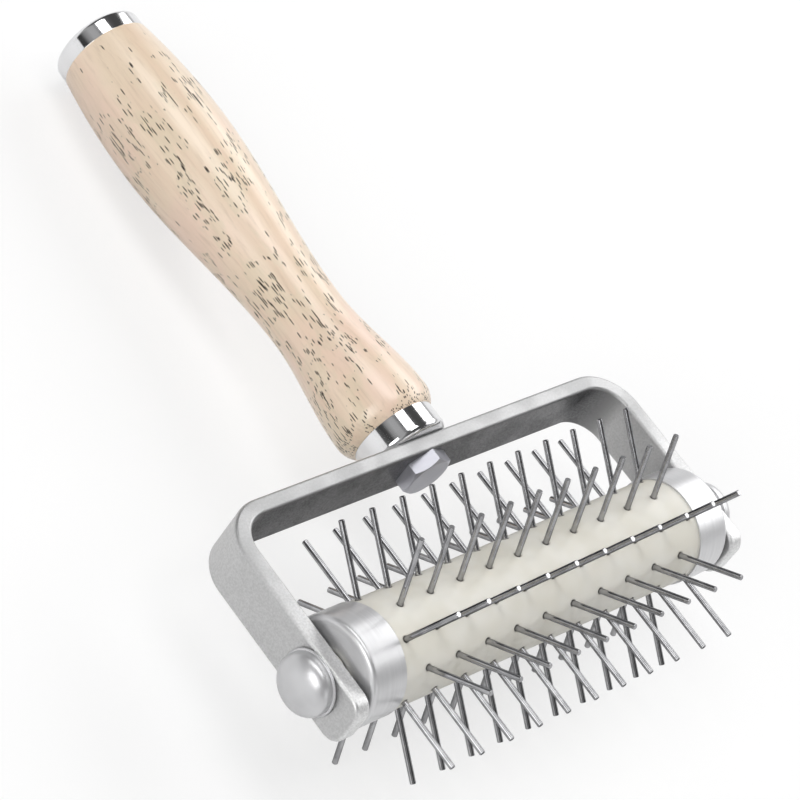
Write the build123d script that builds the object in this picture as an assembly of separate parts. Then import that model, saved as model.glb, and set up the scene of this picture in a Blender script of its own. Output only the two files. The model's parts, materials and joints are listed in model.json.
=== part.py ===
from build123d import *
from math import asin, atan2, cos, degrees, pi, radians, sin, sqrt, tan
import os

# A dough docker: a roller set with rows of steel pins turns on an axle held in a bow frame,
# which a bolt joins to a turned wooden grip.
#
# Every piece is drawn in the tool's own frame: X along the axle, Y from the axle towards the grip,
# Z square to the bow's plane, all from the axle's centre. The whole tool is then laid down as it
# lies on a table, on a row of pins and the lower edge of the grip's end cap.
# Lengths are millimetres and angles are degrees.

# Roller
core_diameter = 26.0
core_length = 105.0  # the drilled length between the two end cups
axle_diameter = 8.0
running_clearance = 0.08  # radial, between the axle and what turns on it
seat_clearance = 0.02  # radial, between pieces that are pressed or pushed together

# Pins
row_count = 10
long_row_pins = 11
pin_pitch = 10.0
pin_diameter = 1.4
pin_sides = 6  # there are so many pins that each is drawn with few faces, and its hole too
row_flat_width = 1.8  # of the narrow flat on the core that a row's holes are drilled in
pin_protrusion = 18.3
pin_seat_depth = 6.0
first_row_angle = 108.0  # from the grip's direction, turning from +Y towards +Z

# End cups
cup_diameter = 26.9
cup_wall = 1.2
cup_floor = 1.6
cup_depth = 9.1  # the overlap of cup and core
cup_edge_chamfer = 0.7

# Bow frame
bar_width = 14.4
crossbar_thickness = 4.0
arm_thickness = 4.5
bow_edge_chamfer = 0.5
bow_bend_radius = 8.0  # inside of the two bends
arm_reach = 13.9  # past the axle
arm_corner_round = 4.4
crossbar_clearance = 7.05  # between the pins' tips and the crossbar
side_play = 0.25  # between a thrust washer and an end cup

# Thrust washers
thrust_washer_diameter = 12.0
thrust_washer_thickness = 1.0

# Axle caps and the lock rings in them
cap_diameter = 16.0
cap_skirt = 2.0  # the straight part of the cap, before its dome
cap_height = 6.2
cap_wall = 0.7
cap_flange_width = 0.5
cap_flange_thickness = 0.8
cap_dome_bands = 5
axle_overhang = 4.2  # past the outside of each arm
axle_end_clearance = 0.4  # round and beyond the axle's end, inside its cap
lock_pocket_depth = 2.6  # of the space for the lock ring
lock_ring_thickness = 0.8
lock_ring_lift = 1.0  # above the arm
lock_tooth_count = 6
lock_slot_width = 0.9
lock_slot_depth = 1.6

# Handle bolt, with its nut and washer at the far end of the grip
bolt_diameter = 8.0
bolt_end_gap = 5.8  # between the bolt's end and the inside of the end cap
hex_across_flats = 12.0
bolt_head_height = 3.6
bolt_head_turn = 32.0  # of a corner, from the axle's line
hex_chamfer_angle = 30.0
nut_height = 6.5
nut_thread_exposed = 2.0
washer_diameter = 16.0
washer_thickness = 1.6
hole_clearance = 0.2  # radial, round the bolt in crossbar, ferrule and wood

# Ferrule
ferrule_diameter = 21.8
ferrule_height = 6.7
ferrule_wall = 0.9
ferrule_floor = 1.4
ferrule_edge_chamfer = 0.65

# Wooden grip, with places measured along it from its lower shoulder
grip_length = 120.9
grip_bulge_diameter = 25.9
grip_bulge_at = 4.7
grip_waist_diameter = 19.7
grip_waist_at = 35.0
grip_belly_diameter = 28.5
grip_belly_at = 91.5
grip_top_diameter = 23.9
grip_sides = 36
grip_end_bands = 2  # that follow each round end of the grip
grip_curve_bands = 4  # that follow each of its two long curves
nut_pocket_clearance = 0.4  # radial, round the washer

# End cap
end_cap_diameter = 23.7
end_cap_height = 5.0
end_cap_wall = 0.8
end_cap_edge_chamfer = 0.65
tenon_end_gap = 0.1

small_sides = 24  # small turned pieces are drawn with flat sides, which keeps the faces few
overrun = 5.0  # how far a cutting tool runs past what it cuts

# Radii and places that follow from the sizes above
core_radius = core_diameter / 2
axle_radius = axle_diameter / 2
pin_radius = pin_diameter / 2
pin_tip_radius = core_radius + pin_protrusion
pin_root_radius = core_radius - pin_seat_depth
cup_radius = cup_diameter / 2
spigot_radius = cup_radius - cup_wall - seat_clearance
roller_half_length = core_length / 2 + cup_depth + cup_floor
cap_skirt_radius = cap_diameter / 2 - cap_flange_width
cap_pocket_radius = cap_skirt_radius - cap_wall
arm_inside = roller_half_length + side_play + thrust_washer_thickness
arm_outside = arm_inside + arm_thickness
crossbar_inside = pin_tip_radius + crossbar_clearance
crossbar_outside = crossbar_inside + crossbar_thickness
bolt_radius = bolt_diameter / 2
bolt_hole_radius = bolt_radius + hole_clearance
grip_start = crossbar_outside + ferrule_height
grip_end = grip_start + grip_length
end_face = grip_end + end_cap_height
tenon_end = end_face - end_cap_wall - tenon_end_gap
bolt_end = tenon_end - bolt_end_gap
nut_seat = bolt_end - nut_thread_exposed - nut_height
washer_seat = nut_seat - washer_thickness

# A point (along, out) of a turned piece's profile stands at distance along on its axis.
about_y = Plane(origin=(0, 0, 0), x_dir=(0, 1, 0), z_dir=(0, 0, 1))
above = (Align.CENTER, Align.CENTER, Align.MIN)


def across_x(place):
    """The plane square to the axle's line at a place on it."""
    return Plane(origin=(place, 0, 0), x_dir=(0, 1, 0), z_dir=(1, 0, 0))


def across_y(place):
    """The plane square to the handle's line at a place on it."""
    return Plane(origin=(0, place, 0), x_dir=(1, 0, 0), z_dir=(0, 1, 0))


def rod_along_x(radius, start, end):
    """A round rod on the axle's line from start to end."""
    return extrude(across_x(start) * Circle(radius), end - start)


def rod_along_y(radius, start, end):
    """A round rod on the handle's line from start to end."""
    return extrude(across_y(start) * Circle(radius), end - start)


def small_disc(across, radius, height):
    """A small disc with flat sides and its corners at the radius, on the plane across its axis."""
    return extrude(across * RegularPolygon(radius, small_sides), height)


def clear_of(radius):
    """The corner radius of a small bore whose flat sides stay outside a round rod of this radius."""
    return radius / cos(pi / small_sides)


def ring_of_corners(plane, radius, sides):
    """The corners of a regular polygon on a plane, or the one point that a radius of 0 leaves."""
    if not radius:
        return [plane.origin]
    turns = [step * 2 * pi / sides for step in range(sides)]
    return [plane.from_local_coords((radius * cos(turn), radius * sin(turn))) for turn in turns]


def banded(across, stations, sides):
    """A solid of flat-sided bands through stations, each a place along the axis and the radius there.

    Two rings of corners that stand square to one axis share their directions, so every side
    between them is flat. A last radius of 0 closes the bands to a tip.
    """
    rings = [ring_of_corners(across(place), radius, sides) for place, radius in stations]
    corners = [rings[0]] + [rings[-1]] * (len(rings[-1]) > 1)
    for near, far in zip(rings, rings[1:]):
        for i in range(sides):
            upper = [far[0]] if len(far) == 1 else [far[(i + 1) % sides], far[i]]
            corners.append([near[i], near[(i + 1) % sides]] + upper)
    return Solid(Shell([Face(Wire.make_polygon(loop)) for loop in corners]))


def hexagon_along_y(start, height, turn=0.0):
    """A hexagonal prism on the handle's line, with a corner turned from +X towards +Z."""
    base = Plane(origin=(0, start, 0), x_dir=(1, 0, 0), z_dir=(0, -1, 0))
    corner_radius = hex_across_flats / sqrt(3)
    return extrude(base * Rot(0, 0, turn) * RegularPolygon(corner_radius, 6), -height)


def chamfer_cone_along_y(start, end, tip_side):
    """A turned blank that takes a hexagon's corners off at the end on tip_side, -1 or 1."""
    flat_radius = hex_across_flats / 2
    blank_radius = flat_radius + (hex_across_flats / sqrt(3) - flat_radius) * 2
    slope_length = (blank_radius - flat_radius) * tan(radians(hex_chamfer_angle))
    near, far = (start, end) if tip_side > 0 else (end, start)
    slope_start = far - tip_side * slope_length
    profile = Polyline(
        (near, 0), (near, blank_radius), (slope_start, blank_radius), (far, flat_radius), (far, 0), close=True
    )
    return revolve(about_y * make_face(profile), Axis.Y)


def row_angle(row):
    """The direction in which a row's pins point."""
    return first_row_angle + row * 360 / row_count


def row_places(row):
    """The pins' places along the axle. Every other row has one pin fewer, half a pitch across."""
    pins = long_row_pins - row % 2
    first = -(pins - 1) * pin_pitch / 2
    return [first + i * pin_pitch for i in range(pins)]


def radial_rods(row, radius, inner, outer):
    """Rods that stand out from the axle at a row's places, from inner to outer."""
    angle = radians(row_angle(row))
    outward = (0, cos(angle), sin(angle))
    rods = []
    round_the_core = (0, -outward[2], outward[1])
    for x in row_places(row):
        base = Plane(origin=(x, inner * outward[1], inner * outward[2]), x_dir=round_the_core, z_dir=outward)
        rods.append(extrude(base * RegularPolygon(radius, pin_sides), outer - inner))
    return rods


def pin_row(row):
    """One row of pins, each seated in its drilled hole."""
    return Compound(radial_rods(row, pin_radius, pin_root_radius, pin_tip_radius))


def roller_core():
    """The nylon core: a spigot at each end for its cup, a bore for the axle and a hole for each pin.

    A row's holes are drilled in a flat, whose depth is core_radius less its height over the axle.
    """
    body = rod_along_x(core_radius, -core_length / 2, core_length / 2)
    flat_height = sqrt(core_radius * core_radius - row_flat_width * row_flat_width / 4)
    above_flat = Pos(0, 0, flat_height) * Box(core_length, core_radius, core_radius, align=above)
    body -= [Rot(row_angle(row) - 90, 0, 0) * above_flat for row in range(row_count)]
    spigot_end = core_length / 2 + cup_depth
    body += rod_along_x(spigot_radius, -spigot_end, spigot_end)
    body -= rod_along_x(axle_radius + running_clearance, -spigot_end - overrun, spigot_end + overrun)
    holes = []
    for row in range(row_count):
        holes += radial_rods(row, pin_radius + seat_clearance, pin_root_radius, core_radius + overrun)
    return body - holes


def roller_cup(side):
    """A turned aluminium cup over the core's end, with its outer edge broken and a hole for the axle."""
    mouth = core_length / 2
    floor = mouth + cup_depth
    end = floor + cup_floor
    outside = rod_along_x(cup_radius, mouth, end)
    rim = outside.edges().filter_by(GeomType.CIRCLE).sort_by(Axis.X)[-1]
    shell = chamfer(rim, cup_edge_chamfer)
    shell -= rod_along_x(cup_radius - cup_wall, mouth - overrun, floor)
    shell -= rod_along_x(axle_radius + running_clearance, mouth, end + overrun)
    return on_side(shell, side)


def on_side(piece, side):
    """A piece drawn on the +X side, turned half way round to -X where side is -1."""
    return piece if side > 0 else Rot(0, 180, 0) * piece


def axle():
    """The steel rod through both arms and the roller."""
    half = arm_outside + axle_overhang
    return rod_along_x(axle_radius, -half, half)


def thrust_washer(side):
    """A plain washer on the axle, against the inside of an arm."""
    start = arm_inside - thrust_washer_thickness
    ring = small_disc(across_x(start), thrust_washer_diameter / 2, thrust_washer_thickness)
    ring -= small_disc(across_x(start), clear_of(axle_radius + seat_clearance), thrust_washer_thickness)
    return on_side(ring, side)


def lock_ring(side):
    """A push-on ring: inward teeth between radial slots grip the axle's end under the cap."""
    start = across_x(arm_outside + lock_ring_lift)
    ring = small_disc(start, cap_pocket_radius - seat_clearance, lock_ring_thickness)
    ring -= small_disc(start, clear_of(axle_radius + seat_clearance), lock_ring_thickness)
    slot = Rectangle(lock_slot_width, axle_radius + lock_slot_depth, align=(Align.CENTER, Align.MIN))
    for tooth in range(lock_tooth_count):
        ring -= extrude(start * Rot(0, 0, tooth * 360 / lock_tooth_count) * slot, lock_ring_thickness)
    return on_side(ring, side)


def axle_cap(side):
    """A domed cap with a narrow flange, pushed on with its lock ring until it meets the arm.

    The dome's section is a quarter of an ellipse. Inside are a pocket for the lock ring and a
    deeper one for the axle's end.
    """
    base = across_x(arm_outside)
    rise = cap_height - cap_skirt
    turns = [step * pi / 2 / cap_dome_bands for step in range(cap_dome_bands)]
    dome = [(arm_outside + cap_skirt + rise * sin(turn), cap_skirt_radius * cos(turn)) for turn in turns]
    skirt = [(arm_outside, cap_skirt_radius)]
    shell = banded(across_x, skirt + dome + [(arm_outside + cap_height, 0)], small_sides)
    shell += small_disc(base, cap_diameter / 2, cap_flange_thickness)
    shell -= small_disc(base, cap_pocket_radius, lock_pocket_depth)
    axle_room = clear_of(axle_radius + axle_end_clearance)
    shell -= small_disc(base, axle_room, axle_overhang + axle_end_clearance)
    return on_side(shell, side)


def bow_frame():
    """A cast bow with rounded arm ends, drilled for the axle and the handle bolt."""
    outer_bend = bow_bend_radius + (arm_thickness + crossbar_thickness) / 2
    outline = bow_outline(arm_outside, crossbar_outside, outer_bend, arm_reach)
    inside = bow_outline(arm_inside, crossbar_inside, bow_bend_radius, arm_reach + overrun)
    bow = extrude(outline - inside, bar_width / 2, both=True)
    ends = bow.faces().sort_by(Axis.Y)[:2]
    bow = fillet(ends.edges().filter_by(Axis.X), arm_corner_round)
    bow = chamfer(long_edges(bow), bow_edge_chamfer)
    bow -= rod_along_x(axle_radius + seat_clearance, -arm_outside - overrun, arm_outside + overrun)
    return bow - rod_along_y(bolt_hole_radius, crossbar_inside - overrun, crossbar_outside + overrun)


def bow_outline(half_width, top, bend, below):
    """A flat shape with two rounded upper corners, from below the axle up to top."""
    shape = Pos(0, (top - below) / 2) * Rectangle(2 * half_width, top + below)
    return fillet(shape.vertices().group_by(Axis.Y)[-1], bend)


def long_edges(bow):
    """The edges that run along the bow and round its arms' ends, without those across it."""
    across_arms = bow.edges().filter_by(Axis.X).filter_by(lambda edge: edge.center().Y < 0)
    across_bends = bow.edges().filter_by(Axis.Z).filter_by(lambda edge: edge.center().Y > 0)
    return bow.edges() - across_arms - across_bends


def handle_bolt():
    """A hexagon bolt with its head under the crossbar."""
    head_start = crossbar_inside - bolt_head_height
    head = hexagon_along_y(head_start, bolt_head_height, bolt_head_turn)
    head &= chamfer_cone_along_y(head_start, crossbar_inside, -1)
    return head + rod_along_y(bolt_radius, crossbar_inside, bolt_end)


def ferrule():
    """A bright cup between crossbar and wood, with its lower edge broken and a hole for the bolt."""
    cup = rod_along_y(ferrule_diameter / 2, crossbar_outside, grip_start)
    cup = chamfer(cup.edges().filter_by(GeomType.CIRCLE).sort_by(Axis.Y)[0], ferrule_edge_chamfer)
    cup -= rod_along_y(ferrule_diameter / 2 - ferrule_wall, crossbar_outside + ferrule_floor, grip_start + overrun)
    return cup - rod_along_y(bolt_hole_radius, crossbar_outside - overrun, grip_start)


def level_arc(level, end, bands):
    """Stations on the arc that is level at one point and passes through the other, without the first.

    With a run and a drop between the two, its radius is (run^2 + drop^2) / (2 drop).
    """
    run, drop = end[0] - level[0], level[1] - end[1]
    radius = (run * run + drop * drop) / (2 * drop)
    turns = [asin(run / radius) * step / bands for step in range(1, bands + 1)]
    return [(level[0] + radius * sin(turn), level[1] - radius * (1 - cos(turn))) for turn in turns]


def easy_curve(start, end, bands):
    """Stations from start to end, level at both, whose radius follows 3t^2 - 2t^3, without the first."""
    shares = [step / bands for step in range(1, bands + 1)]
    run, rise = end[0] - start[0], end[1] - start[1]
    return [(start[0] + run * t, start[1] + rise * (3 - 2 * t) * t * t) for t in shares]


def wooden_grip():
    """The turned grip: tenons for ferrule and end cap, a bore for the bolt and a pocket for its nut."""
    bulge = (grip_start + grip_bulge_at, grip_bulge_diameter / 2)
    waist = (grip_start + grip_waist_at, grip_waist_diameter / 2)
    belly = (grip_start + grip_belly_at, grip_belly_diameter / 2)
    shoulder = (grip_start, ferrule_diameter / 2)
    top = (grip_end, grip_top_diameter / 2)
    stations = level_arc(bulge, shoulder, grip_end_bands)[::-1] + [bulge]
    stations += easy_curve(bulge, waist, grip_curve_bands) + easy_curve(waist, belly, grip_curve_bands)
    stations += level_arc(belly, top, grip_end_bands)
    wood = banded(across_y, stations, grip_sides)
    lower_tenon_radius = ferrule_diameter / 2 - ferrule_wall - seat_clearance
    upper_tenon_radius = end_cap_diameter / 2 - end_cap_wall - seat_clearance
    wood += rod_along_y(lower_tenon_radius, crossbar_outside + ferrule_floor, grip_start)
    wood += rod_along_y(upper_tenon_radius, grip_end, tenon_end)
    wood -= rod_along_y(bolt_hole_radius, crossbar_outside - overrun, tenon_end + overrun)
    return wood - rod_along_y(washer_diameter / 2 + nut_pocket_clearance, washer_seat, tenon_end + overrun)


def grip_washer():
    """The washer that the nut draws against the wood."""
    ring = small_disc(across_y(washer_seat), washer_diameter / 2, washer_thickness)
    return ring - small_disc(across_y(washer_seat), clear_of(bolt_hole_radius), washer_thickness)


def grip_nut():
    """The nut on the bolt's end, drawn plain because nothing shows it."""
    nut = hexagon_along_y(nut_seat, nut_height)
    return nut - small_disc(across_y(nut_seat), clear_of(bolt_radius + seat_clearance), nut_height)


def grip_end_cap():
    """A bright cap pressed over the wood's upper tenon, with a flat end and a broken edge."""
    cap = rod_along_y(end_cap_diameter / 2, grip_end, end_face)
    cap = chamfer(cap.edges().filter_by(GeomType.CIRCLE).sort_by(Axis.Y)[-1], end_cap_edge_chamfer)
    return cap - rod_along_y(end_cap_diameter / 2 - end_cap_wall, grip_end - overrun, end_face - end_cap_wall)


def resting_pose():
    """The turn about X and the lift that lay the tool on its lowest row of pins and its end cap.

    The tool touches the table at a corner of the pins' tips and at the upper corner of the cap's
    chamfer, so the tangent of the tilt is the drop between the two over their reach.
    """
    row_lean = radians(min(row_angle(row) % 360 for row in range(row_count) if row_angle(row) % 360 > 270) - 270)
    tip_drop = pin_tip_radius * cos(row_lean) + pin_radius * sin(row_lean)
    tip_reach = pin_tip_radius * sin(row_lean) - pin_radius * cos(row_lean)
    drop = tip_drop - end_cap_diameter / 2
    reach = end_face - end_cap_edge_chamfer - tip_reach
    tilt = atan2(drop, reach)
    lift = tip_drop * cos(tilt) + tip_reach * sin(tilt)
    return degrees(tilt), lift


def laid_down(made):
    """Every piece turned and lifted onto the table, with the tool's middle over the origin."""
    tilt, lift = resting_pose()
    placed = {name: Pos(0, 0, lift) * Rot(-tilt, 0, 0) * piece for name, piece in made.items()}
    boxes = [piece.bounding_box() for piece in placed.values()]
    middle = (min(box.min.Y for box in boxes) + max(box.max.Y for box in boxes)) / 2
    print("tilt", tilt, "axle height", lift, "axle at y", -middle)
    return {name: Pos(0, -middle, 0) * piece for name, piece in placed.items()}


def pieces():
    """Every piece of the tool, by name, in the tool's own frame."""
    made = {
        "bow_frame": bow_frame(),
        "axle": axle(),
        "roller_core": roller_core(),
        "handle_bolt": handle_bolt(),
        "ferrule": ferrule(),
        "wooden_grip": wooden_grip(),
        "grip_washer": grip_washer(),
        "grip_nut": grip_nut(),
        "grip_end_cap": grip_end_cap(),
    }
    for row in range(row_count):
        made[f"pin_row_{row + 1:02d}"] = pin_row(row)
    for name, side in (("left", -1), ("right", 1)):
        made[f"roller_cup_{name}"] = roller_cup(side)
        made[f"thrust_washer_{name}"] = thrust_washer(side)
        made[f"lock_ring_{name}"] = lock_ring(side)
        made[f"axle_cap_{name}"] = axle_cap(side)
    return made


def main():
    os.makedirs("parts", exist_ok=True)
    for name, piece in laid_down(pieces()).items():
        export_step(piece, f"parts/{name}.step")


main()
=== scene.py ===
# %% [markdown]
# A dough docker, a roller set with rows of steel pins, lies on a pale table. A baker rolls it over
# dough to prick it, so that it doesn't blister in the oven.
#
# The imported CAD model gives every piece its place, its size and the body that it moves with. This
# script dresses it: most pieces are drawn again as smooth surfaces worked out with numpy, and each
# finish is a tree of shader nodes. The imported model's own record says where the axle is and which
# way the handle points, so nothing here is placed by eye.

import json
from math import asin, degrees, pi, radians, tan

import bpy
import numpy as np
from mathutils import Matrix


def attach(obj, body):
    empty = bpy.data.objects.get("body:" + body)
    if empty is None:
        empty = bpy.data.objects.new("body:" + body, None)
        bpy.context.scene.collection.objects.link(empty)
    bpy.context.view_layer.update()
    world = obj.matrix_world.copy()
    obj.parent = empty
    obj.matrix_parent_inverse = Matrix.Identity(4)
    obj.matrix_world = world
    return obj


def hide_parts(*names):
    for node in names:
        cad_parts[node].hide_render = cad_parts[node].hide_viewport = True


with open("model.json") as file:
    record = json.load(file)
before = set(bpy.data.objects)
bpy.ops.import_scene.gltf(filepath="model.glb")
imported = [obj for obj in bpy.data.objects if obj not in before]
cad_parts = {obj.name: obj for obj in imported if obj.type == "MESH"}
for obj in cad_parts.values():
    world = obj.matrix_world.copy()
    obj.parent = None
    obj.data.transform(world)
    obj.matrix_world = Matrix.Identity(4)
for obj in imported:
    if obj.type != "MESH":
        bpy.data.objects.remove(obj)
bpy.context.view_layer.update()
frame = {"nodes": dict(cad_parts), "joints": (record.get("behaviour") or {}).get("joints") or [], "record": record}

# %% [markdown]
# The tool doesn't lie square to the table: it leans on one row of pins and on the cap at the end of
# its handle. Drawing each piece in the tool's own frame and turning it at the end is simpler than
# working with slanted numbers. The tool's X runs along the axle, Y along the handle and Z squarely
# out of the bow. The joint gives the axle's place and line, and the mount on the handle's end gives
# the handle's direction.

# %% The tool's own frame
record = frame["record"]
axle_place = np.array(frame["joints"][0]["pos_m"])
handle_line = np.array(next(m for m in record["mounts"] if m["name"] == "handle_end")["axis"])
axle_line = np.array([1.0, 0.0, 0.0])
tool_axes = np.stack([axle_line, handle_line, np.cross(axle_line, handle_line)])
tilt = asin(-handle_line[2])
millimetre = 0.001


def on_table(points):
    """Tool millimetres to table metres: the axle's place plus each tool axis times its coordinate."""
    return axle_place + points @ tool_axes * millimetre


print("the handle dips by", round(degrees(tilt), 2), "degrees")

# %% [markdown]
# These sizes, in millimetres, are the ones that the pieces below share. A piece's own small sizes
# stand in its own cell.

# %% Shared sizes
core_radius = 13.0
core_half_length = 52.5
axle_radius = 4.0
cup_radius = 13.45
cup_depth = 9.1
cup_floor = 1.6
arm_inside = 64.45
arm_outside = 68.95
crossbar_inside = 38.35
crossbar_outside = 42.35
ferrule_radius = 10.9
grip_start = 49.05
grip_end = 169.95
end_face = 174.95
end_cap_radius = 11.85

# %% [markdown]
# Every new piece is a skin: rings of points, one after the other, with a four-sided face between
# each pair of neighbours. Worked out as whole arrays, even a hundred thousand points take no time.
# The helper below joins the rings, closes the ends with a point where the piece has a tip, and
# turns all faces round if the skin encloses a negative volume, which means that it is inside out.

# %% Skins from rings of points
def ring_faces(rings, closed=False):
    """Faces between rings: point j of ring i, then j + 1, then the same two on ring i + 1."""
    count, around = rings.shape[:2]
    index = np.arange(count * around).reshape(count, around)
    if closed:
        index = np.vstack([index, index[:1]])
    near, far = index[:-1], index[1:]
    return np.stack([near, np.roll(near, -1, 1), np.roll(far, -1, 1), far], -1).reshape(-1, 4).tolist()


def tip_faces(ring, tip, flip):
    """A fan of triangles from a ring of point numbers to the one point that closes it."""
    after = np.roll(ring, -1)
    first, second = (after, ring) if flip else (ring, after)
    return np.stack([first, second, np.full_like(ring, tip)], -1).tolist()


def skin(rings, closed=False):
    """Points and faces of a skin. An open skin's first and last rings are closed by their middles."""
    count, around = rings.shape[:2]
    points = rings.reshape(-1, 3)
    faces = ring_faces(rings, closed)
    if not closed:
        tips = rings[[0, -1]].mean(1)
        points = np.vstack([points, tips])
        first, last = np.arange(around), np.arange(around) + (count - 1) * around
        faces += tip_faces(first, count * around, True) + tip_faces(last, count * around + 1, False)
    return points, faces


def enclosed_volume(points, faces):
    """The sum over all triangles of a . (b x c) / 6, which is positive when faces point outwards."""
    fans = [(f[0], f[i], f[i + 1]) for f in faces for i in range(1, len(f) - 1)]
    a, b, c = (points[list(column)] for column in zip(*fans))
    return float((a * np.cross(b, c)).sum() / 6)


def add_piece(name, points, faces, body, slot, material, nodes=(), crease=30):
    """A new mesh object from tool millimetres, riding on a body and standing for CAD nodes."""
    volume = enclosed_volume(points, faces)
    if volume < 0:
        faces = [face[::-1] for face in faces]
    mesh = bpy.data.meshes.new(name)
    mesh.from_pydata(on_table(points).tolist(), [], faces)
    mesh.shade_smooth()
    mesh.set_sharp_from_angle(angle=radians(crease))
    mesh.materials.append(material)
    piece = bpy.data.objects.new(name, mesh)
    bpy.context.collection.objects.link(piece)
    normals = piece.modifiers.new("even normals", "WEIGHTED_NORMAL")
    normals.keep_sharp = True
    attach(piece, body)
    if nodes:
        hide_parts(*nodes)
    print(name, len(mesh.polygons), "faces,", round(abs(volume) / 1000, 2), "cubic centimetres")
    return piece


# %% [markdown]
# Most of this tool is round: it was turned on a lathe. A turned piece is one outline carried round
# an axis, so only the outline has to be drawn. Real turned edges are never razor sharp, and the
# small round on each edge is what catches the light, so the outline's corners carry a radius.

# %% Turned pieces
arc_steps = 6


def rounded(corners):
    """An outline whose corners (along, out, radius) are rounded.

    At a corner with half angle h, the arc starts radius / tan(h) before it and its centre lies
    radius / sin(h) away on the bisector. Points on the arc are weighted by sines of the turn.
    """
    outline = []
    spots = np.array([corner[:2] for corner in corners], float)
    for i, (along, out, radius) in enumerate(corners):
        here = spots[i]
        if radius == 0:
            outline.append(here[None])
            continue
        back = spots[i - 1] - here
        ahead = spots[(i + 1) % len(spots)] - here
        back, ahead = back / np.linalg.norm(back), ahead / np.linalg.norm(ahead)
        half = np.arccos(np.clip(back @ ahead, -1, 1)) / 2
        bisector = (back + ahead) / np.linalg.norm(back + ahead)
        centre = here + bisector * radius / np.sin(half)
        start = here + back * radius / np.tan(half) - centre
        end = here + ahead * radius / np.tan(half) - centre
        turn = pi - 2 * half
        share = np.linspace(0, 1, arc_steps + 1)[:, None]
        arc = np.sin((1 - share) * turn) * start + np.sin(share * turn) * end
        outline.append(centre + arc / np.sin(turn))
    return np.vstack(outline)


def turned(outline, axis, around=128):
    """Rings of a turned piece: (along, out cos a, out sin a) for every outline point and angle a."""
    angle = np.linspace(0, 2 * pi, around, endpoint=False)
    along = np.repeat(outline[:, :1], around, 1)
    first, second = outline[:, 1:] * np.cos(angle), outline[:, 1:] * np.sin(angle)
    order = (along, first, second) if axis == "x" else (second, along, first)
    return np.stack(order, -1)


def mirrored(corners, side):
    """The same outline on the other arm: every place along the axle changes sign."""
    return corners if side > 0 else [(-along, out, radius) for along, out, radius in corners][::-1]


# %% [markdown]
# Shader trees are easier to read when one short call makes a node and fills its sockets. A value
# that is the same all over a surface is set on the shader's own socket.

# %% Making shader nodes
def add_node(tree, kind, settings=None, **inputs):
    """A new node. Settings are its properties. Inputs are values, or sockets to link.

    An input goes by its name, with _ for a space, or by the letter i and its number.
    """
    node = tree.nodes.new(kind)
    for key, value in (settings or {}).items():
        setattr(node, key, value)
    for key, value in inputs.items():
        numbered = key[0] == "i" and key[1:].isdigit()
        socket = node.inputs[int(key[1:]) if numbered else key.replace("_", " ")]
        if isinstance(value, bpy.types.NodeSocket):
            tree.links.new(value, socket)
        else:
            socket.default_value = value
    return node


def arithmetic(tree, operation, *values):
    """One Math node over one, two or three values or sockets."""
    inputs = {f"i{i}": value for i, value in enumerate(values)}
    return add_node(tree, "ShaderNodeMath", {"operation": operation}, **inputs).outputs[0]


def spread(tree, value, low, high, to_low=0.0, to_high=1.0):
    """Low to high becomes to_low to to_high, eased at both ends, and goes no further."""
    return add_node(
        tree, "ShaderNodeMapRange", {"interpolation_type": "SMOOTHSTEP"},
        i0=value, i1=low, i2=high, i3=to_low, i4=to_high,
    ).outputs[0]


def mixed(tree, share, first, second):
    """A colour between two colours. A Mix node has its sockets for colours at 6, 7 and 2."""
    mix = add_node(tree, "ShaderNodeMix", {"data_type": "RGBA"}, i0=share, i6=first, i7=second)
    return mix.outputs[2]


def noise(tree, vector, **inputs):
    """A noise texture, as one value at each point."""
    return add_node(tree, "ShaderNodeTexNoise", Vector=vector, **inputs).outputs[0]


def new_group(name, inputs, outputs):
    """An empty shader node group with named sockets: {name: (kind, default)} in, {name: kind} out."""
    group = bpy.data.node_groups.new(name, "ShaderNodeTree")
    for label, (kind, default) in inputs.items():
        socket = group.interface.new_socket(label, in_out="INPUT", socket_type=kind)
        if default is not None:
            socket.default_value = default
    for label, kind in outputs.items():
        group.interface.new_socket(label, in_out="OUTPUT", socket_type=kind)
    return group, group.nodes.new("NodeGroupInput").outputs, group.nodes.new("NodeGroupOutput").inputs


def use_group(tree, group, **inputs):
    """A group placed in a material, with its own values."""
    return add_node(tree, "ShaderNodeGroup", {"node_tree": group}, **inputs).outputs


def tool_vector(tree, axis_first="x"):
    """Object coordinates in tool millimetres from the axle. For the handle, its line comes first."""
    turn = np.array([[0.0, 1, 0], [-1, 0, 0], [0, 0, 1]]) if axis_first == "y" else np.eye(3)
    move = -(turn @ tool_axes) @ axle_place / millimetre
    here = add_node(tree, "ShaderNodeTexCoord").outputs["Object"]
    return add_node(
        tree, "ShaderNodeMapping", Vector=here, Scale=[1 / millimetre] * 3, Location=move.tolist(),
        Rotation=(tilt, 0, -pi / 2 if axis_first == "y" else 0),
    ).outputs[0]


def new_material(name, **values):
    """A material with one Principled BSDF and the values that are the same all over it."""
    material = bpy.data.materials.new(name)
    material.use_nodes = True
    shader = material.node_tree.nodes["Principled BSDF"]
    for key, value in values.items():
        shader.inputs[key.replace("_", " ")].default_value = value
    return material, material.node_tree, shader


# %% [markdown]
# Two effects serve most of the finishes. Fine grain is the faint speckle of a blasted, tumbled or
# moulded surface, made from noise. Turning lines are the rings that a lathe tool leaves: they run
# round the axis, so their pattern depends only on the place along the axis plus the distance from
# it, which draws rings on a rim and on an end face alike.

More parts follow.
